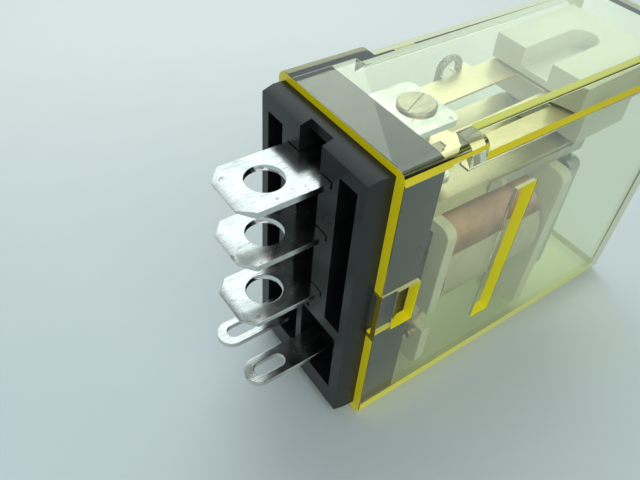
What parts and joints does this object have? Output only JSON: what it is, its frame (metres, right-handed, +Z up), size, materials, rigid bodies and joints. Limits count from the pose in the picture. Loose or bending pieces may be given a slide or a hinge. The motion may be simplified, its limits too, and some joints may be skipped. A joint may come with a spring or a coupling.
{
  "type": "plug-in relay",
  "caption": "Slim plug-in relay: clear cover snapped on a black base, flat blades in front, hinged armature that moves a changeover contact.",
  "frame": {"origin": "middle of the bounding box's underside: the relay lies on its narrow coil side", "axes": "+X from the blades towards the closed end of the cover, +Y across the width, +Z up from the coil side to the contact side"},
  "size_m": [0.0422, 0.014, 0.0275],
  "materials": {
    "clear_cover": "clear yellow-tinted moulded polycarbonate, glossy",
    "black_moulding": "satin black moulded thermoset",
    "tinned_brass": "brass sheet with bright tin plating, lightly scratched",
    "contact_alloy": "silver alloy, satin",
    "spring_bronze": "bright rolled bronze strip",
    "spring_steel": "bright spring strip",
    "white_moulding": "creamy white moulded plastic",
    "nickel_plated_steel": "soft iron, nickel plated, satin",
    "zinc_plated_steel": "soft iron, pale yellow passivated zinc",
    "bobbin_moulding": "translucent white moulded plastic",
    "enamelled_copper": "enamelled copper wire, glossy",
    "coil_tape": "thin translucent polyester tape",
    "bare_copper_braid": "bare copper braid"
  },
  "bodies": {
    "housing": {"cover": "clear_cover", "base": "black_moulding", "terminal_no": "tinned_brass", "terminal_nc": "tinned_brass", "terminal_common": "tinned_brass", "coil_terminal_a": "tinned_brass", "coil_terminal_b": "tinned_brass", "fixed_contact_no": "contact_alloy", "fixed_contact_nc": "contact_alloy", "armature_spring": "spring_steel", "yoke": "zinc_plated_steel", "core": "nickel_plated_steel", "bobbin": "bobbin_moulding", "winding": "enamelled_copper", "coil_tape": "coil_tape", "coil_lead_a": "enamelled_copper", "coil_lead_b": "enamelled_copper", "flexible_braid": "bare_copper_braid"},
    "armature_unit": {"armature": "nickel_plated_steel", "moving_block": "white_moulding", "contact_spring": "spring_bronze", "moving_contact": "contact_alloy"}
  },
  "joints": [
    {"name": "armature_pivot", "type": "hinge", "parent": "housing", "child": "armature_unit", "pos_m": [0.00945, 0, 0.02], "axis": [0, 1, 0], "range_deg": [0, 2], "stiffness_Nm_per_rad": 0.01, "springref_deg": -8.59, "deforming": ["flexible_braid"]}
  ]
}
